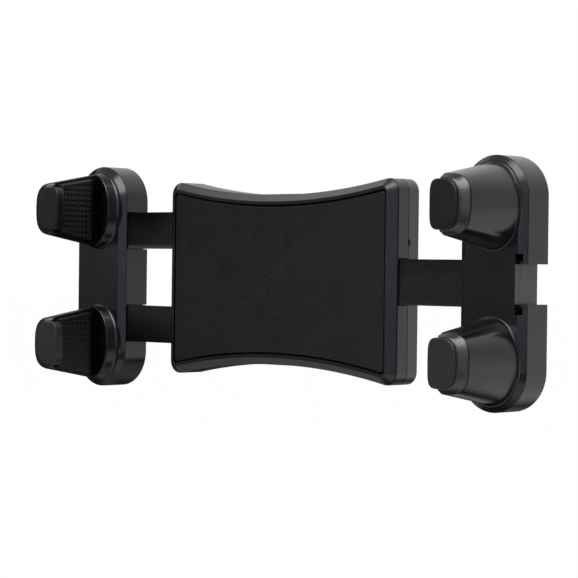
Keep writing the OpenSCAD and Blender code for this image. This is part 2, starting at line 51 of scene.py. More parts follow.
# ---------------------------------------------------------------- camera, as in the photograph
YAW, PITCH, ROLL = math.radians(43.338), math.radians(-0.601), math.radians(0.686)
EYE = Vector((0.54595, -0.58695, 0.00612))
PHOTO_PX, FOCAL_PX, SENSOR_MM = 578, 2202.02, 36


def add_camera():
    fwd = Vector((-math.sin(YAW) * math.cos(PITCH), math.cos(YAW) * math.cos(PITCH), math.sin(PITCH)))
    right = Vector((math.cos(YAW), math.sin(YAW), 0))
    up = right.cross(fwd)
    x = math.cos(ROLL) * right + math.sin(ROLL) * up
    y = -math.sin(ROLL) * right + math.cos(ROLL) * up
    data = bpy.data.cameras.new("camera")
    data.sensor_width = SENSOR_MM
    data.lens = FOCAL_PX * SENSOR_MM / PHOTO_PX
    data.shift_x = 0.00644
    data.shift_y = -0.0053
    data.clip_start = 0.01
    data.clip_end = 50
    cam = bpy.data.objects.new("camera", data)
    m = Matrix((x, y, -fwd)).transposed().to_4x4()
    m.translation = EYE
    cam.matrix_world = m
    bpy.context.scene.collection.objects.link(cam)
    bpy.context.scene.camera = cam


add_camera()

# ---------------------------------------------------------------- sizes in mm, as in the CAD model
PLATE_W, PLATE_H, WAIST, BODY_D, CORNER_R = 112.0, 71.5, 5.1, 14.0, 4.65
BEZEL_W, BEZEL_D, WALL, SEAM_DEPTH, PAD_T = 3.8, 2.4, 2.0, 5.6, 1.0
FRONT_Y = -BODY_D
SEAM_Y = FRONT_Y + BEZEL_D + SEAM_DEPTH
RAIL_FRONT, RAIL_GAP = FRONT_Y + 3.1, 0.3
CORNER_X, CORNER_Z = PLATE_W / 2 - CORNER_R, PLATE_H / 2 - CORNER_R
DROP = PLATE_H / 2 - WAIST - CORNER_Z
ARC_R = (CORNER_X**2 + DROP**2 - CORNER_R**2) / (2 * (CORNER_R - DROP))
ARC_Z = PLATE_H / 2 - WAIST + ARC_R
BRACKET_W, BRACKET_H, BRACKET_D = 27.7, 85.2, 12.85
RIM_W, RIM_D, BRACKET_WALL, PLATE_T = 2.9, 1.85, 1.36, 2.65
HALF_W, END_Z = BRACKET_W / 2, BRACKET_H / 2 - BRACKET_W / 2
BRACKET_FRONT = FRONT_Y + 0.5
BRACKET_BACK = BRACKET_FRONT + BRACKET_D
LEFT_X, RIGHT_X = -PLATE_W / 2 - 25.2 - HALF_W, PLATE_W / 2 + 27.9 + HALF_W
POST_Z, POST_LEN = 51.2 / 2, 26.1
RIM_H, COLLAR_H, COLLAR_STEP, WELL_H = POST_LEN - 2.3, 3.1, 2.9, 1.2
WELL_W, WELL_HALF = 7.7, 12.6
CUT_X, GRIP_FACE = 1.2, 3.5
GROOVE, SEAM_GAP = BEZEL_W + 0.05, 0.22
KNEE = BEZEL_W - 0.45
PAD_FLAT = 6.0
NOTCH_DEPTH, NOTCH_HALF, NOTCH_SLOT = 3.85, 6.6, 10
KNURL_PITCH, KNURL_FROM, KNURL_TO, KNURL_DEPTH = 2.0, 7.3, 21.3, 0.38
# heights of the left arm's two rails from the middle, and half the height of the right arm's rail
FORK = (10.9, 24.8)
SINGLE = 7.9
# block that fills an opening of the CAD's rear shell: half its length, its end in Y and its heights
FILL_HALF, FILL_END, FILL_Z = 15.6, -1.2, (28.9, 31.09)


# ---------------------------------------------------------------- materials
# half the height in mm over which the painted shade and highlight bands are spread
PAINTED_SHADING_REACH = 25


def node(tree, kind, **values):
    n = tree.nodes.new(kind)
    for key, value in values.items():
        if key.startswith("in_"):
            n.inputs[key[3:].replace("_", " ")].default_value = value
        else:
            setattr(n, key, value)
    return n


def ramp(tree, stops):
    n = tree.nodes.new("ShaderNodeValToRGB")
    els = n.color_ramp.elements
    while len(els) < len(stops):
        els.new(0.5)
    for el, (pos, col) in zip(els, stops):
        el.position = pos
        el.color = (*col, 1) if len(col) == 3 else col
    return n


def plastic(name, low, high, rough, rough_span, grain_mm, grain_depth,
            streak=None, specular=0.5, fleck=0.0, painted_shading=None):
    """Moulded plastic or rubber: mottled colour, uneven gloss and a fine moulded grain.

    streak is the axis and depth in mm of drawn lines, fleck the share of pale specks, and the last argument
    a list of (z in mm, level) that the colour is multiplied by: painted shade and painted highlight bands
    over the height.
    """
    mat = bpy.data.materials.new(name)
    mat.use_nodes = True
    t = mat.node_tree
    bsdf = t.nodes["Principled BSDF"]
    bsdf.inputs["IOR"].default_value = 1.5
    bsdf.inputs["Specular IOR Level"].default_value = specular
    coord = node(t, "ShaderNodeTexCoord")
    broad = node(t, "ShaderNodeTexNoise", in_Scale=55.0, in_Detail=5.0, in_Roughness=0.6)
    t.links.new(coord.outputs["Object"], broad.inputs["Vector"])
    tint = ramp(t, [(0.3, low), (0.7, high)])
    if streak:
        bands = node(t, "ShaderNodeMapping")
        bands.inputs["Scale"].default_value = [6.0 if k == streak[0] else 330.0 for k in range(3)]
        t.links.new(coord.outputs["Object"], bands.inputs["Vector"])
        broad.inputs["Scale"].default_value = 1.0
        t.links.new(bands.outputs["Vector"], broad.inputs["Vector"])
    t.links.new(broad.outputs["Fac"], tint.inputs["Fac"])
    colour = tint.outputs["Color"]
    # painted shade and painted highlight: the colour is multiplied by levels that change over the height
    if painted_shading:
        place_z = node(t, "ShaderNodeSeparateXYZ")
        t.links.new(coord.outputs["Object"], place_z.inputs["Vector"])
        span = node(t, "ShaderNodeMapRange", clamp=True)
        span.inputs["From Min"].default_value = -PAINTED_SHADING_REACH * MM
        span.inputs["From Max"].default_value = PAINTED_SHADING_REACH * MM
        t.links.new(place_z.outputs["Z"], span.inputs["Value"])
        bands = ramp(t, [((z + PAINTED_SHADING_REACH) / (2 * PAINTED_SHADING_REACH), (v, v * 0.96, v)) for z, v in painted_shading])
        t.links.new(span.outputs["Result"], bands.inputs["Fac"])
        both = node(t, "ShaderNodeMix", data_type="RGBA", blend_type="MULTIPLY")
        both.inputs["Factor"].default_value = 1.0
        t.links.new(colour, both.inputs["A"])
        t.links.new(bands.outputs["Color"], both.inputs["B"])
        colour = both.outputs["Result"]
    if fleck:
        dust = node(t, "ShaderNodeTexNoise", in_Scale=2600.0, in_Detail=2.0, in_Roughness=0.5)
        t.links.new(coord.outputs["Object"], dust.inputs["Vector"])
        pick = ramp(t, [(0.68, (0, 0, 0)), (0.78, (1, 1, 1))])
        t.links.new(dust.outputs["Fac"], pick.inputs["Fac"])
        mix = node(t, "ShaderNodeMix", data_type="RGBA", blend_type="ADD")
        mix.inputs["Factor"].default_value = fleck
        t.links.new(colour, mix.inputs["A"])
        t.links.new(pick.outputs["Color"], mix.inputs["B"])
        colour = mix.outputs["Result"]
    t.links.new(colour, bsdf.inputs["Base Color"])
    wear = node(t, "ShaderNodeTexNoise", in_Scale=210.0, in_Detail=8.0, in_Roughness=0.65)
    t.links.new(coord.outputs["Object"], wear.inputs["Vector"])
    height = wear.outputs["Fac"]
    gloss = node(t, "ShaderNodeMapRange")
    gloss.inputs["From Min"].default_value = 0.3
    gloss.inputs["From Max"].default_value = 0.7
    gloss.inputs["To Min"].default_value = rough - rough_span
    gloss.inputs["To Max"].default_value = rough + rough_span
    t.links.new(wear.outputs["Fac"], gloss.inputs["Value"])
    t.links.new(gloss.outputs["Result"], bsdf.inputs["Roughness"])
    grain = node(t, "ShaderNodeTexNoise", in_Scale=1.0 / (grain_mm * MM), in_Detail=3.0, in_Roughness=0.55)
    t.links.new(coord.outputs["Object"], grain.inputs["Vector"])
    bump = node(t, "ShaderNodeBump", in_Strength=1.0, in_Distance=grain_depth * MM)
    t.links.new(grain.outputs["Fac"], bump.inputs["Height"])
    normal = bump.outputs["Normal"]
    if streak:
        axis, depth = streak
        stretch = node(t, "ShaderNodeMapping")
        stretch.inputs["Scale"].default_value = [120.0 if k == axis else 2600.0 for k in range(3)]
        t.links.new(coord.outputs["Object"], stretch.inputs["Vector"])
        lines = node(t, "ShaderNodeTexNoise", in_Scale=1.0, in_Detail=4.0, in_Roughness=0.6)
        t.links.new(stretch.outputs["Vector"], lines.inputs["Vector"])
        cut = node(t, "ShaderNodeBump", in_Strength=1.0, in_Distance=depth * MM)
        t.links.new(lines.outputs["Fac"], cut.inputs["Height"])
        t.links.new(normal, cut.inputs["Normal"])
        normal = cut.outputs["Normal"]
    t.links.new(normal, bsdf.inputs["Normal"])
    return mat


def metal(name, low, high, rough, brush_axis):
    """Bare metal with brush lines along one axis."""
    mat = bpy.data.materials.new(name)
    mat.use_nodes = True
    t = mat.node_tree
    bsdf = t.nodes["Principled BSDF"]
    bsdf.inputs["Metallic"].default_value = 1.0
    coord = node(t, "ShaderNodeTexCoord")
    stretch = node(t, "ShaderNodeMapping")
    stretch.inputs["Scale"].default_value = [200.0 if k == brush_axis else 3000.0 for k in range(3)]
    t.links.new(coord.outputs["Object"], stretch.inputs["Vector"])
    brush = node(t, "ShaderNodeTexNoise", in_Scale=1.0, in_Detail=4.0, in_Roughness=0.6)
    t.links.new(stretch.outputs["Vector"], brush.inputs["Vector"])
    tint = ramp(t, [(0.25, low), (0.75, high)])
    t.links.new(brush.outputs["Fac"], tint.inputs["Fac"])
    t.links.new(tint.outputs["Color"], bsdf.inputs["Base Color"])
    gloss = node(t, "ShaderNodeMapRange")
    gloss.inputs["To Min"].default_value = rough - 0.08
    gloss.inputs["To Max"].default_value = rough + 0.12
    t.links.new(brush.outputs["Fac"], gloss.inputs["Value"])
    t.links.new(gloss.outputs["Result"], bsdf.inputs["Roughness"])
    bump = node(t, "ShaderNodeBump", in_Strength=1.0, in_Distance=0.004 * MM)
    t.links.new(brush.outputs["Fac"], bump.inputs["Height"])
    t.links.new(bump.outputs["Normal"], bsdf.inputs["Normal"])
    return mat


SHELL = plastic("shell", (0.0048, 0.0046, 0.0064), (0.0082, 0.0079, 0.0108), 0.2, 0.03, 0.3, 0.0014)
BODY_SHELL = plastic("body_shell", (0.0062, 0.0062, 0.0088), (0.0098, 0.0098, 0.0138),
                     0.3, 0.04, 0.3, 0.0016, specular=0.6)
REAR_SHELL = plastic("rear_shell", (0.01, 0.01, 0.0112), (0.014, 0.014, 0.0158),
                     0.3, 0.04, 0.3, 0.0016, specular=0.85)
# Lighter, glossier copy of the bracket plastic, for the notch floor and the single arm's end plate: painted
# light.
PAINTED_LIGHT_PLATE = plastic("plate", (0.014, 0.014, 0.0148), (0.02, 0.02, 0.021), 0.3, 0.04, 0.3, 0.0016, specular=0.72)
# The rails' colour comes from bands over the height: painted shade, darker towards the right rail's top and
# the outer edges of the fork's rails, and painted highlight lines along the right rail's lower edge and the
# fork's upper rail's lower edge.
RAIL = plastic("rail", (0.75, 0.75, 0.75), (1.3, 1.3, 1.3), 0.3, 0.03, 0.3, 0.001, (0, 0.01), 0.45,
               painted_shading=[(-7.9, 0.018), (-7.3, 0.014), (-6.9, 0.0075), (0, 0.008),
                    (3, 0.0045), (6.5, 0.003), (7.2, 0.002), (7.9, 0.001)])
RAIL_PAIR = plastic("rail_pair", (0.75, 0.75, 0.75), (1.3, 1.3, 1.3), 0.3, 0.03, 0.3, 0.001, (0, 0.01), 0.45,
                    painted_shading=[(-24.8, 0.0015), (-20, 0.0035), (-11.5, 0.0062), (10.9, 0.036), (11.8, 0.028),
                         (12.4, 0.0058), (18, 0.0062), (20.5, 0.004), (23, 0.0012), (24.8, 0.001)])
SCUFFED = plastic("scuffed", (0.005, 0.005, 0.0066), (0.026, 0.026, 0.0315),
                  0.24, 0.12, 0.22, 0.035, specular=0.7, fleck=0.08)
PAD = plastic("pad", (0.0022, 0.0019, 0.002), (0.006, 0.0053, 0.0062),
              0.46, 0.05, 0.34, 0.16, specular=0.4, fleck=0.045)
RUBBER = plastic("rubber", (0.0048, 0.0048, 0.0053), (0.008, 0.008, 0.0085),
                 0.46, 0.06, 0.22, 0.008, specular=0.28)
SHADE = plastic("deep_shade", (0.001, 0.001, 0.0013), (0.0018, 0.0018, 0.0022),
                0.7, 0.05, 0.22, 0.012, specular=0.06)
# Darker, less glossy copy of the bracket plastic, for the left posts' cones: painted shade.
PAINTED_SHADE_POST = plastic("post_side_painted_shade", (0.0032, 0.0032, 0.0037), (0.0058, 0.0058, 0.0065),
                    0.42, 0.05, 0.3, 0.003, specular=0.2)
CAP = plastic("cap", (0.003, 0.0024, 0.0024), (0.0062, 0.0054, 0.0056), 0.36, 0.05, 0.3, 0.01)
# Lighter copy of the cap rubber, for the lower caps: painted light.
PAINTED_LIGHT_CAP = plastic("cap_low_painted_light", (0.0125, 0.0117, 0.0124), (0.0195, 0.0186, 0.02), 0.36, 0.05, 0.3, 0.01)
STEEL = metal("steel", (0.46, 0.46, 0.48), (0.66, 0.66, 0.68), 0.3, 1)
BRASS = metal("brass", (0.68, 0.5, 0.22), (0.86, 0.68, 0.36), 0.28, 1)


# ---------------------------------------------------------------- mesh helpers
def spread(a, b, count):
    return [a + (b - a) * k / (count - 1) for k in range(count)]


def mix(a, b, t):
    return a + (b - a) * t


def rounded(points, segs=4):
    """Polyline through (a, b, radius) points, with each corner rounded to its radius."""
    out = []
    for k, (a, b, r) in enumerate(points):
        if r <= 0:
            out.append((a, b))
            continue
        p = Vector((a, b))
        u = (Vector(points[k - 1][:2]) - p).normalized()
        v = (Vector(points[k + 1][:2]) - p).normalized()
        half = u.angle(v) / 2
        c = p + (u + v).normalized() * (r / math.sin(half))
        s = p + u * (r / math.tan(half)) - c
        e = p + v * (r / math.tan(half)) - c
        start = math.atan2(s.y, s.x)
        sweep = (math.atan2(e.y, e.x) - start + math.pi) % (2 * math.pi) - math.pi
        turns = [start + sweep * i / segs for i in range(segs + 1)]
        out += [(c.x + r * math.cos(a), c.y + r * math.sin(a)) for a in turns]
    return out


def body_outline(side, arc=None, least=0.35):
    """Body outline drawn in by side mm at the ends and by arc mm at the arched edges."""
    arc = side if arc is None else arc
    r = max(CORNER_R - min(side, arc), least)
    reach = ARC_R + arc
    x0 = PLATE_W / 2 - side - r
    z0 = ARC_Z - math.sqrt((reach + r) ** 2 - x0**2)
    tang = math.atan2(ARC_Z - z0, -x0)
    corner = [(x0 + r * math.cos(a), z0 + r * math.sin(a)) for a in spread(0, tang, 15)]
    bend = spread(tang - math.pi, -tang, 61)[1:-1]
    arch = [(reach * math.cos(a), ARC_Z + reach * math.sin(a)) for a in bend]
    top = corner + arch + [(-x, z) for x, z in reversed(corner)]
    return top + [(-x, -z) for x, z in top]


def stadium(inset):
    """Bracket outline drawn in by inset mm."""
    r = HALF_W - inset
    top = [(r * math.cos(a), END_Z + r * math.sin(a)) for a in spread(0, math.pi, 57)]
    return top + [(-x, -z) for x, z in top]


def ring_faces(rows, n, faces):
    """Quads between closed rows of n points each."""
    for k in range(rows - 1):
        for i in range(n):
            j = (i + 1) % n
            a, b = k * n + i, k * n + j
            faces.append((a, b, b + n, a + n))


def ring_solid(outline, profile, x0=0.0):
    """Closed skin of an outline drawn in by the insets of a profile of (inset, y)."""
    verts, faces = [], []
    for inset, y in profile:
        ring = outline(inset)
        verts += [(x0 + x, y, z) for x, z in ring]
    n = len(ring)
    ring_faces(len(profile), n, faces)
    faces.append(tuple(range(n)))
    faces.append(tuple(range((len(profile) - 1) * n, len(profile) * n)))
    return verts, faces


def new_object(name, verts, faces, materials, face_slots=None):
    """Object from a mesh in mm, with outward normals and one material slot a face."""
    me = bpy.data.meshes.new(name)
    me.from_pydata([(x * MM, y * MM, z * MM) for x, y, z in verts], [], faces)
    for m in materials:
        me.materials.append(m)
    if face_slots:
        for poly, slot in zip(me.polygons, face_slots):
            poly.material_index = slot
    bm = bmesh.new()
    bm.from_mesh(me)
    bmesh.ops.recalc_face_normals(bm, faces=bm.faces)
    bm.to_mesh(me)
    bm.free()
    ob = bpy.data.objects.new(name, me)
    bpy.context.scene.collection.objects.link(ob)
    return ob


def box_mesh(lo, hi):
    v = [(x, y, z) for x in (lo[0], hi[0]) for y in (lo[1], hi[1]) for z in (lo[2], hi[2])]
    return v, [(0, 1, 3, 2), (4, 6, 7, 5), (0, 4, 5, 1), (2, 3, 7, 6), (0, 2, 6, 4), (1, 5, 7, 3)]


def bake(ob):
    """Applies an object's modifiers."""
    graph = bpy.context.evaluated_depsgraph_get()
    me = bpy.data.meshes.new_from_object(ob.evaluated_get(graph))
    ob.modifiers.clear()
    old = ob.data
    ob.data = me
    bpy.data.meshes.remove(old)


def carve(ob, boxes):
    """Cuts boxes of (low, high) corners in mm out of an object."""
    cutters = []
    for k, (lo, hi) in enumerate(boxes):
        cutter = new_object(f"cutter_{k}", *box_mesh(lo, hi), [])
        cutters.append(cutter)
        m = ob.modifiers.new("carve", "BOOLEAN")
        m.operation = "DIFFERENCE"
        m.solver = "EXACT"
        m.object = cutter
    bake(ob)
    for cutter in cutters:
        bpy.data.objects.remove(cutter)


def soften(ob, sharp_deg=36, bevel=0.0):
    """Smooth shading that keeps flat faces flat, after an optional small bevel."""
    if bevel:
        m = ob.modifiers.new("bevel", "BEVEL")
        m.width = bevel * MM
        m.segments = 2
        m.limit_method = "ANGLE"
        m.angle_limit = math.radians(32)
        m.use_clamp_overlap = True
        m.miter_outer = "MITER_ARC"
        bake(ob)
    ob.data.shade_smooth()
    ob.data.set_sharp_from_angle(angle=math.radians(sharp_deg))
    m = ob.modifiers.new("normals", "WEIGHTED_NORMAL")
    m.keep_sharp = True
    m.weight = 60


def place(ob, body, slot, *nodes):
    """Rides an object on a body in place of CAD nodes; slot is not used."""
    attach(ob, body)
    if nodes:
        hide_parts(*nodes)


# ---------------------------------------------------------------- body
def bezel_ring(inset):
    """The bezel's rings: along the arched edges its slope ends earlier than at the two ends."""
    share = 0.77
    low = share * KNEE
    arc = inset * share if inset < KNEE else mix(low, GROOVE, (inset - KNEE) / (GROOVE - KNEE))
    return body_outline(inset, arc if inset > 0 else 0, 1.25 if inset > 2.5 else 0.35)


def front_housing():
    """Front half of the body: groove round the pad, bezel, side wall and the rails' windows."""
    inside = RAIL_FRONT - RAIL_GAP
    profile = rounded([
        (GROOVE, FRONT_Y + PAD_T + 0.1, 0),
        (GROOVE, FRONT_Y, 0.1),
        (KNEE, FRONT_Y, 0.9),
        (0, FRONT_Y + BEZEL_D, 0.75),
        (0, SEAM_Y - SEAM_GAP, 0.1),
        (WALL, SEAM_Y - SEAM_GAP, 0.1),
        (WALL, inside, 0),
    ], 6)
    verts, faces = ring_solid(bezel_ring, profile)
    n = (len(faces) - 2) // (len(profile) - 1)
    # painted shade: the groove rows and the recess floor take the deep shade material, and the land along
    # the arched top and bottom edges the darker rubber material
    groove_rows, slope_rows, arch_z = 5, 11, 24
    slots = []
    for k in range(len(faces) - 2):
        x, _, z = verts[faces[k][0]]
        on_arch = abs(x) < CORNER_X and abs(z) > arch_z
        slots.append(1 if k // n < groove_rows else 2 if k // n < slope_rows and on_arch else 0)
    ob = new_object("front_shell", verts, faces, [BODY_SHELL, SHADE, RUBBER], slots + [1, 0])
    end, behind = PLATE_W / 2, SEAM_Y + 1
    boxes = [((-end - 1, inside, lo - RAIL_GAP), (-end + WALL + 1, behind, hi + RAIL_GAP))
             for lo, hi in (FORK, (-FORK[1], -FORK[0]))]
    boxes.append(((end - WALL - 1, inside, -SINGLE - RAIL_GAP), (end + 1, behind, SINGLE + RAIL_GAP)))
    carve(ob, boxes)
    soften(ob)
    place(ob, "body", "shell", "front_housing")


def pad_ring(inset):
    """The pad's rings: past PAD_FLAT the ring is shrunk, so that its cap stays small."""
    ring = body_outline(min(inset, PAD_FLAT), None, 1.3)
    if inset <= PAD_FLAT:
        return ring
    return [(x * 0.5, z * 0.5) for x, z in ring]


def front_pad():
    edge, top = GROOVE + 0.5, FRONT_Y + 0.1
    profile = rounded([(edge, top + PAD_T, 0), (edge, top, 0.3), (5.5, top, 0), (7, top, 0)], 4)
    ob = new_object("pad_sheet", *ring_solid(pad_ring, profile), [PAD])
    soften(ob)
    place(ob, "body", "pad", "front_pad")


def close_arches(bm):
    """Fills the openings that the CAD shell has in the middle of its top and bottom walls."""
    low, high = FILL_Z
    for z0, z1 in ((low, high), (-high, -low)):
        points, faces = box_mesh((-FILL_HALF, SEAM_Y, z0), (FILL_HALF, FILL_END, z1))
        v = [bm.verts.new([c * MM for c in p]) for p in points]
        for face in faces:
            bm.faces.new([v[i] for i in face])


def dressed(node_name, name, body, slot, mats, width, side=0):
    """Copy of a CAD node with joined faces and rounded edges.

    On an arm, side is the way to its bracket, inside which the second material starts.
    """
    src = frame["nodes"][node_name]
    me = src.data.copy()
    me.name = name
    me.materials.clear()
    for m in mats:
        me.materials.append(m)
    bm = bmesh.new()
    bm.from_mesh(me)
    bmesh.ops.remove_doubles(bm, verts=bm.verts, dist=2e-6)
    bmesh.ops.dissolve_limit(bm, angle_limit=math.radians(0.05), verts=bm.verts, edges=bm.edges)
    bmesh.ops.triangulate(bm, faces=[f for f in bm.faces if len(f.verts) > 4])
    if node_name == "rear_housing":
        close_arches(bm)
    for f in bm.faces:
        inner = side * f.calc_center_median().x > (RIGHT_X - HALF_W) * MM
        f.material_index = 1 if side and inner else 0
    bmesh.ops.recalc_face_normals(bm, faces=bm.faces)
    bm.to_mesh(me)
    bm.free()
    ob = bpy.data.objects.new(name, me)
    bpy.context.scene.collection.objects.link(ob)
    soften(ob, 36, width)
    place(ob, body, slot, node_name)


# ---------------------------------------------------------------- brackets and their posts
def oval(t, outer, inner, half_h, n_out, n_in):
    """Point of an oval whose outer and inner halves have their own width and squareness."""
    c, s = math.cos(t), math.sin(t)
    a, n = (outer, n_out) if c < 0 else (inner, n_in)
    return math.copysign(a * abs(c) ** (2 / n), c), math.copysign(half_h * abs(s) ** (2 / n), s)


def post_outline(t, h, grow=0.0):
    """Point of the post's outline at a height over the bracket's plate."""
    k = max(0.0, min(h, RIM_H)) / RIM_H
    w = mix(11.5, 10.1, k)
    inner = w - COLLAR_STEP * max(0.0, min(h / COLLAR_H, 1.0))
    return oval(t, w + grow, inner + grow, mix(14.3, 9.9, k) + grow, mix(2.15, 3.0, k), mix(2, 3.2, k))


def post_mesh(place_point):
    """Moulded post: fillet, oval cone, collar and well on the tablet side, sloped tip."""
    n = 192
    angles = [2 * math.pi * i / n for i in range(n)]
    facing = [post_outline(t, COLLAR_H)[0] > CUT_X + 0.15 for t in angles]
    rows, slots = [], []

    def row(core, tablet, slot=0):
        rows.append([tablet(t) if f else core(t) for t, f in zip(angles, facing)])
        slots.append(slot)

    def on_cone(h, grow=0.0, clip=False):
        def at(t):
            x, z = post_outline(t, h, grow)
            return (min(x, CUT_X) if clip else x, h, z)
        return at

    fillet = 0.75
    row(on_cone(-0.6, fillet + 0.1), on_cone(-0.6, fillet + 0.1))
    for a in spread(0, math.pi / 2, 6):
        h, grow = fillet * (1 - math.cos(a)) + 0.01, fillet * (1 - math.sin(a))
        row(on_cone(h, grow), on_cone(h, grow))
    r = 0.28
    for a in spread(0, math.pi / 2, 6):
        h = COLLAR_H - r + r * math.sin(a)
        row(on_cone(h, 0, True) if a else on_cone(h), on_cone(h, -r * (1 - math.cos(a))))

    def in_well(h, grow, foot=False):
        def at(t):
            x, z = oval(t, WELL_W + grow, WELL_W + grow, WELL_HALF + grow, 2, 2)
            return (CUT_X if foot else max(x, CUT_X), h, z)
        return at

    row(on_cone(COLLAR_H + 0.04, 0, True), in_well(COLLAR_H, 0.2))
    row(on_cone(COLLAR_H + 0.08, 0, True), in_well(COLLAR_H - 0.15, 0.0))
    row(on_cone(COLLAR_H + 0.12, 0, True), in_well(WELL_H, -0.05), 2)
    row(on_cone(COLLAR_H + 0.16, 0, True), in_well(WELL_H - 0.02, -0.3, True), 2)
    stem = [(h, 0) for h in (COLLAR_H + 0.3, 8, 13, 18, RIM_H - 0.7)]
    stem += [(RIM_H - 0.42, -0.02), (RIM_H - 0.3, -0.1), (RIM_H - 0.24, -0.22)]
    for h, grow in stem:
        row(on_cone(h, grow, True), on_cone(h, grow, True), 3)

    def tip(h, w, half):
        def at(t):
            x, z = oval(t, w, 6, half, 2.7, 3.2)
            return (min(x, CUT_X), h, z)
        return at

    crown = [(mix(RIM_H - 0.2, POST_LEN - 0.8, step), mix(10.1, 6.65, step), mix(9.85, 8.5, step))
             for step in (0.12, 0.4, 0.7, 0.93)]
    crown += [(POST_LEN - 0.82, 6.5, 8.35), (POST_LEN - 0.85, 6.0, 8.0)]
    for level in crown:
        row(tip(*level), tip(*level), 1)
    verts = [place_point(*p) for r in rows for p in r]
    faces, face_slots = [], []
    ring_faces(len(rows), n, faces)
    for k in range(len(rows) - 1):
        slot = slots[k + 1]
        face_slots += [3 if k > 5 and slot in (0, 2) and not f else slot for f in facing]
    faces.append(tuple(range(n)))
    faces.append(tuple(range((len(rows) - 1) * n, len(rows) * n)))
    return verts, faces, face_slots + [0, 0]


def at_post(x0, side, up):
    """Point of a post's own frame in the row frame: side is +1 where the tablet is towards +X."""
    return lambda x, h, z: (x0 + side * x, BRACKET_FRONT - h, up * POST_Z + z)


def bracket(name, x0, side, rails, body, node_name, notched):
    """Bracket shell with its two posts; side is +1 where the body lies towards +X."""
    profile = rounded([
        (RIM_W + 0.8, BRACKET_FRONT, 0),
        (RIM_W, BRACKET_FRONT, 0.25),
        (0, BRACKET_FRONT + RIM_D, 0.3),
        (0, BRACKET_BACK, 0.3),
        (BRACKET_WALL, BRACKET_BACK, 0.12),
        (BRACKET_WALL, BRACKET_FRONT + PLATE_T, 0),
    ], 5)
    ob = new_object(name, *ring_solid(stadium, profile, x0), [SHELL, SHADE, PAINTED_LIGHT_PLATE])
    edge = x0 + side * HALF_W
    boxes = []
    for lo, hi in rails:
        xs = sorted((edge - side * (BRACKET_WALL + 1), edge + side))
        boxes.append(((xs[0], RAIL_FRONT - RAIL_GAP, lo - 0.15), (xs[1], BRACKET_BACK + 1, hi + 0.15)))
    if notched:
        out = x0 - side * HALF_W
        xs = sorted((out - side, out + side * (NOTCH_DEPTH + 0.02)))
        boxes.append(((xs[0], BRACKET_FRONT - 1, -NOTCH_HALF), (xs[1], BRACKET_BACK + 1, NOTCH_HALF)))
        xs = sorted((out + side * BRACKET_WALL, out + side * NOTCH_DEPTH))
        boxes.append(((xs[0], BRACKET_FRONT - 1, -NOTCH_SLOT),
                      (xs[1], BRACKET_FRONT + PLATE_T + 1, NOTCH_SLOT)))
    carve(ob, boxes)
    # painted shade and painted light in the notch: the cross slot's faces take the deep shade material, the
    # notch floor the lighter plate material
    if notched:
        for poly in ob.data.polygons:
            x, y, z = (v / MM for v in poly.center)
            deep, near = abs(x - out), NOTCH_DEPTH + 0.05
            in_slot = 6.65 < abs(z) < 10.05 and 1.3 < deep < near and y > BRACKET_FRONT + 0.1
            on_notch = abs(z) < 6 and NOTCH_DEPTH - 0.05 < deep < near
            poly.material_index = 1 if in_slot else 2 if on_notch else 0
    soften(ob, 36, 0.1)
    place(ob, body, "shell", node_name)
    for word, up in (("upper", 1), ("lower", -1)):
        verts, faces, slots = post_mesh(at_post(x0, side, up))
        # painted shade: the left posts' cones take the darker copy of the shell plastic, the right posts'
        # keep the shell
        cone = PAINTED_SHADE_POST if side > 0 else SHELL
        post = new_object(f"{name}_{word}_post", verts, faces, [SHELL, SCUFFED, SHADE, cone], slots)
        soften(post, 40)
        place(post, body, "shell", node_name)


# ---------------------------------------------------------------- rubber grips
def cone_half(x, h, inset):
    """Half the height of the post's oval at x, drawn in by inset."""
    k = max(0.0, min(h, RIM_H)) / RIM_H
    w, half, n = mix(11.5, 10.1, k) - inset, mix(14.3, 9.9, k) - inset, mix(2, 3.2, k)
    return half * (1 - (x / w) ** n) ** (1 / n)


def knurl(h, z):
    """Depth of the crossed grooves in the gripping face at a height and a distance from its middle."""
    if not KNURL_FROM <= h <= KNURL_TO:
        return 0.0
    edge = mix(11.0, 8.2, (h - KNURL_FROM) / (KNURL_TO - KNURL_FROM)) - abs(z)
    if edge <= 0:
        return 0.0

    def groove(u):
        d = abs((u / KNURL_PITCH) % 1.0 - 0.5) * KNURL_PITCH
        return max(0.0, min(1.0, (0.55 - (1.0 - d)) / 0.3))

    depth = max(groove(h - KNURL_FROM), groove(z + 1.0))
    return KNURL_DEPTH * depth * min(1.0, edge / 0.25)


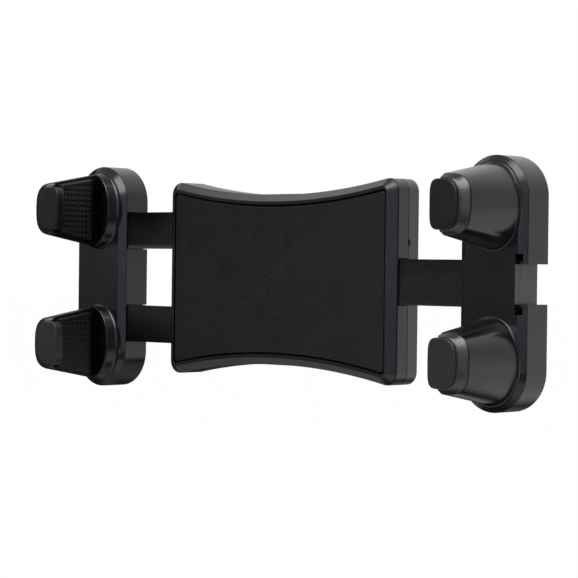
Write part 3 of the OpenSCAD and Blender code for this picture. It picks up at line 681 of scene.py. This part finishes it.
def grip_pad(name, point, body, node_name):
    """Knurled rubber face with its foot, closed at the back by the cut of the post."""
    heights = [1.3, 2.0, 2.8, 3.25, 4.2, 5.4, 6.3, 6.55, 6.68, 6.74, 6.8, 6.9, 7.05]
    heights += spread(7.2, 22.3, 102) + [22.6]
    foot_end = 6.85
    front = spread(-1, 1, 109)
    verts, faces = [], []
    for h in heights:
        back = 1.3 * min(1.0, max(0.0, (6.95 - h) / 0.4)) ** 0.6
        inset = 0.9 if h > 3.2 else 2.0
        z1 = cone_half(GRIP_FACE, max(h, 3.2), inset)
        z0 = cone_half(CUT_X, max(h, 3.2), inset)
        ring = []
        for u in front:
            z = u * (z1 - 0.1)
            round_off = max(0.0, abs(z) - (z1 - 0.55)) / 0.45
            ring.append((GRIP_FACE - back - 0.35 * round_off**2 - knurl(h, z), h, z))
        edge_x, rear_x = GRIP_FACE - back - 0.6, CUT_X - 0.05
        ring += [(edge_x, h, z1 + 0.02), (CUT_X, h, z0), (rear_x, h, z0 * 0.5)]
        ring += [(rear_x, h, -z0 * 0.5), (CUT_X, h, -z0), (edge_x, h, -z1 - 0.02)]
        verts += [point(*p) for p in ring]
    n = len(front) + 6
    ring_faces(len(heights), n, faces)
    faces.append(tuple(range(n)))
    faces.append(tuple(range((len(heights) - 1) * n, len(heights) * n)))
    slots = [1 if heights[f // n] < foot_end else 0 for f in range(len(faces) - 2)] + [1, 0]
    ob = new_object(name, verts, faces, [RUBBER, SHADE], slots)
    soften(ob, 50)
    place(ob, body, "rubber", node_name)


def grip_cap(name, point, mat, body, node_name):
    """Soft cap over the post's tip; each level is a height, a half width to the tablet and an inset."""
    levels = [(21.9, 4.0, 0.3), (22.15, 4.4, 0.0), (22.6, 5.2, 0.0), (22.95, 5.68, 0.0)]
    levels += [(23.2, 5.8, 0.0), (23.5, 5.79, 0.0), (24.4, 5.55, 0.0), (25.3, 5.33, 0.0)]
    r = 0.55
    for a in spread(0, math.pi / 2, 6):
        levels.append((25.5 + r * math.sin(a), 5.28 - r * (1 - math.cos(a)), r * (1 - math.cos(a))))
    n = 144
    turns = [2 * math.pi * i / n for i in range(n)]
    verts, faces = [], []
    for h, inner, inset in levels:
        for t in turns:
            x, z = oval(t, 6.4 - inset, inner, 8.3 - inset, 2.7, 4.5)
            verts.append(point(x, h, z))
    for step in (0.8, 0.45):
        for t in turns:
            x, z = oval(t, 5.85, 4.73, 7.75, 2.7, 4.5)
            verts.append(point(x * step, 26.05 + 0.05 * (1 - step), z * step))
    rows = len(levels) + 2
    ring_faces(rows, n, faces)
    faces.append(tuple(range(n)))
    faces.append(tuple(range((rows - 1) * n, rows * n)))
    cap = new_object(name, verts, faces, [mat])
    soften(cap, 50)
    place(cap, body, "rubber", node_name)


def grip(name, x0, side, up, body, node_name):
    point = at_post(x0, side, up)
    grip_pad(name, point, body, node_name)
    # painted light: the lower caps take the lighter copy of the cap rubber
    grip_cap(f"{name}_cap", point, CAP if up > 0 else PAINTED_LIGHT_CAP, body, node_name)


front_housing()
front_pad()
dressed("rear_housing", "rear_shell", "body", "shell", [REAR_SHELL], 0.2)
# the arms' rails take the banded rail colours, painted shade and highlight; inside its bracket the fork's
# end takes the plain shell, and the single arm's end plate the lighter plate material as painted light
dressed("left_arm", "fork_arm", "left_slide", "shell", [RAIL_PAIR, SHELL], 0.2, -1)
dressed("right_arm", "single_arm", "right_slide", "shell", [RAIL, PAINTED_LIGHT_PLATE], 0.12, 1)
bracket("left_bracket_shell", LEFT_X, 1, [FORK, (-FORK[1], -FORK[0])], "left_slide", "left_bracket", False)
bracket("right_bracket_shell", RIGHT_X, -1, [(-SINGLE, SINGLE)], "right_slide", "right_bracket", True)
for hand, x0, side in (("left", LEFT_X, 1), ("right", RIGHT_X, -1)):
    for word, up in (("upper", 1), ("lower", -1)):
        grip(f"{hand}_{word}_rubber", x0, side, up, f"{hand}_slide", f"{hand}_{word}_grip")


def paint(names, mat):
    """Gives shown CAD nodes a better material."""
    for name in names:
        for slot in frame["nodes"][name].material_slots:
            slot.material = mat


paint(["housing_screws", "left_bracket_screws", "right_bracket_screws"], STEEL)
paint(["spring_anchor_pins", "left_arm_pins", "right_arm_pin"], STEEL)
paint(["left_upper_spring", "left_lower_spring", "right_spring"], STEEL)
paint(["mount_inserts"], BRASS)


# ---------------------------------------------------------------- floor, lamps and world
# grey cards around the set: where each is, where its light starts and is full, and its gain
CARDS = [((-0.72, -0.694, 0), 0.78, 0.96, 0.34), ((-0.95, -0.31, 0), 0.93, 0.985, 0.7)]
FLOOR_Z, FLOOR_HALF = -0.125, 6


def map_range(t, value, start, end, low, high):
    """Smooth step of a value, from low at start to high at end."""
    n = node(t, "ShaderNodeMapRange", clamp=True, interpolation_type="SMOOTHSTEP")
    for socket, number in (("From Min", start), ("From Max", end), ("To Min", low), ("To Max", high)):
        n.inputs[socket].default_value = number
    t.links.new(value, n.inputs["Value"])
    return n.outputs["Result"]


def combine(t, operation, a, b):
    """Math node over two values, of which the second may be a number."""
    n = node(t, "ShaderNodeMath", operation=operation)
    t.links.new(a, n.inputs[0])
    if isinstance(b, float):
        n.inputs[1].default_value = b
    else:
        t.links.new(b, n.inputs[1])
    return n.outputs["Value"]


def distance(t, coord, centre, scale):
    """Distance from a centre after each axis is scaled."""
    shift = node(t, "ShaderNodeVectorMath", operation="SUBTRACT")
    shift.inputs[1].default_value = centre
    squeeze = node(t, "ShaderNodeVectorMath", operation="MULTIPLY")
    squeeze.inputs[1].default_value = scale
    length = node(t, "ShaderNodeVectorMath", operation="LENGTH")
    t.links.new(coord.outputs["Object"], shift.inputs[0])
    t.links.new(shift.outputs["Vector"], squeeze.inputs[0])
    t.links.new(squeeze.outputs["Vector"], length.inputs[0])
    return length.outputs["Value"]


def stage_floor():
    """Plain pale floor, white to the camera; glossy rays see it glow in patches, a painted reflection of the
    studio with a painted shadow of the object.
    """
    z, w = FLOOR_Z, FLOOR_HALF
    me = bpy.data.meshes.new("floor")
    me.from_pydata([(-w, -w, z), (w, -w, z), (w, w, z), (-w, w, z)], [], [(0, 1, 2, 3)])
    ob = bpy.data.objects.new("floor", me)
    bpy.context.scene.collection.objects.link(ob)
    mat = bpy.data.materials.new("floor")
    mat.use_nodes = True
    t = mat.node_tree
    bsdf = t.nodes["Principled BSDF"]
    bsdf.inputs["Base Color"].default_value = (0.8, 0.8, 0.8, 1)
    bsdf.inputs["Roughness"].default_value = 0.9
    glow = node(t, "ShaderNodeEmission", in_Color=WHITE, in_Strength=1.0)
    dim = node(t, "ShaderNodeEmission", in_Color=WHITE)
    coord = node(t, "ShaderNodeTexCoord")
    place_xy = node(t, "ShaderNodeSeparateXYZ")
    t.links.new(coord.outputs["Object"], place_xy.inputs["Vector"])
    # for glossy rays the floor glows as a painted reflection, bright behind and to the right, in a spot
    # under the left bracket and in a band in front, with a painted shadow of the object: dark under it and
    # behind it on the left, but for a dim patch
    behind = map_range(t, place_xy.outputs["Y"], 0.01, 0.09, 0.0, 1.0)
    right = map_range(t, place_xy.outputs["X"], 0.065, 0.14, 0.02, 1.0)
    patch = map_range(t, distance(t, coord, (-0.04, 0.1, 0), (1, 1, 0)), 0.03, 0.12, 0.36, 0.0)
    painted_reflection_spot = map_range(t, distance(t, coord, (-0.1, -0.03, 0), (1, 1, 0)), 0.05, 0.1, 0.45, 0.02)
    band = map_range(t, distance(t, coord, (0.05, -0.19, 0), (1 / 0.3, 1 / 0.12, 0)), 0.65, 1.1, 0.8, 0.0)
    far = combine(t, "MULTIPLY", behind, combine(t, "MAXIMUM", right, patch))
    level = combine(t, "ADD", far, combine(t, "MAXIMUM", painted_reflection_spot, band))
    t.links.new(level, dim.inputs["Strength"])
    path = node(t, "ShaderNodeLightPath")
    seen = node(t, "ShaderNodeMixShader")
    both = node(t, "ShaderNodeMixShader")
    t.links.new(path.outputs["Is Glossy Ray"], seen.inputs["Fac"])
    t.links.new(bsdf.outputs["BSDF"], seen.inputs[1])
    t.links.new(dim.outputs["Emission"], seen.inputs[2])
    t.links.new(combine(t, "MULTIPLY", path.outputs["Is Camera Ray"], 0.985), both.inputs["Fac"])
    t.links.new(seen.outputs["Shader"], both.inputs[1])
    t.links.new(glow.outputs["Emission"], both.inputs[2])
    t.links.new(both.outputs["Shader"], t.nodes["Material Output"].inputs["Surface"])
    me.materials.append(mat)


def lamp(name, at, width, height, power, colour=(1, 1, 1)):
    """Area lamp aimed at the origin."""
    data = bpy.data.lights.new(name, "AREA")
    data.shape = "RECTANGLE"
    data.size = width
    data.size_y = height
    data.energy = power
    data.color = colour
    ob = bpy.data.objects.new(name, data)
    ob.location = at
    ob.rotation_euler = (-Vector(at)).to_track_quat("-Z", "Y").to_euler()
    bpy.context.scene.collection.objects.link(ob)


def world():
    """White where the camera sees it; for light, bright behind and above, dim in front."""
    w = bpy.data.worlds.new("studio")
    bpy.context.scene.world = w
    w.use_nodes = True
    t = w.node_tree
    back = t.nodes["Background"]
    coord = node(t, "ShaderNodeTexCoord")
    parts = node(t, "ShaderNodeSeparateXYZ")
    t.links.new(coord.outputs["Generated"], parts.inputs["Vector"])
    terms = [map_range(t, parts.outputs["Y"], 0.25, 0.8, 0.02, 0.78),
             map_range(t, parts.outputs["Z"], 0.2, 0.8, 0.0, 0.5),
             map_range(t, parts.outputs["X"], -0.93, -0.78, -0.5, 0.0)]
    for aim, start, end, gain in CARDS:
        facing = node(t, "ShaderNodeVectorMath", operation="DOT_PRODUCT")
        facing.inputs[1].default_value = aim
        t.links.new(coord.outputs["Generated"], facing.inputs[0])
        terms.append(map_range(t, facing.outputs["Value"], start, end, 0.0, gain))
    total = terms[0]
    for term in terms[1:]:
        total = combine(t, "ADD", total, term)
    total = combine(t, "MAXIMUM", total, 0.02)
    path = node(t, "ShaderNodeLightPath")
    pick = node(t, "ShaderNodeMix", data_type="FLOAT")
    t.links.new(path.outputs["Is Camera Ray"], pick.inputs["Factor"])
    t.links.new(total, pick.inputs["A"])
    pick.inputs["B"].default_value = 1.0
    back.inputs["Color"].default_value = WHITE
    t.links.new(pick.outputs["Result"], back.inputs["Strength"])


stage_floor()
world()
lamp("key", (0.09, -0.93, 0.72), 0.7, 0.7, 9)
lamp("front", (0.5, -1.2, 0.05), 0.5, 0.9, 1.4, (0.9, 0.88, 1.0))
lamp("rim", (0.75, -0.1, 0.85), 0.5, 0.5, 2.5)
lamp("fill", (-0.84, 0.05, 0.76), 0.5, 0.5, 0.8)
bpy.context.scene.view_settings.view_transform = "Standard"
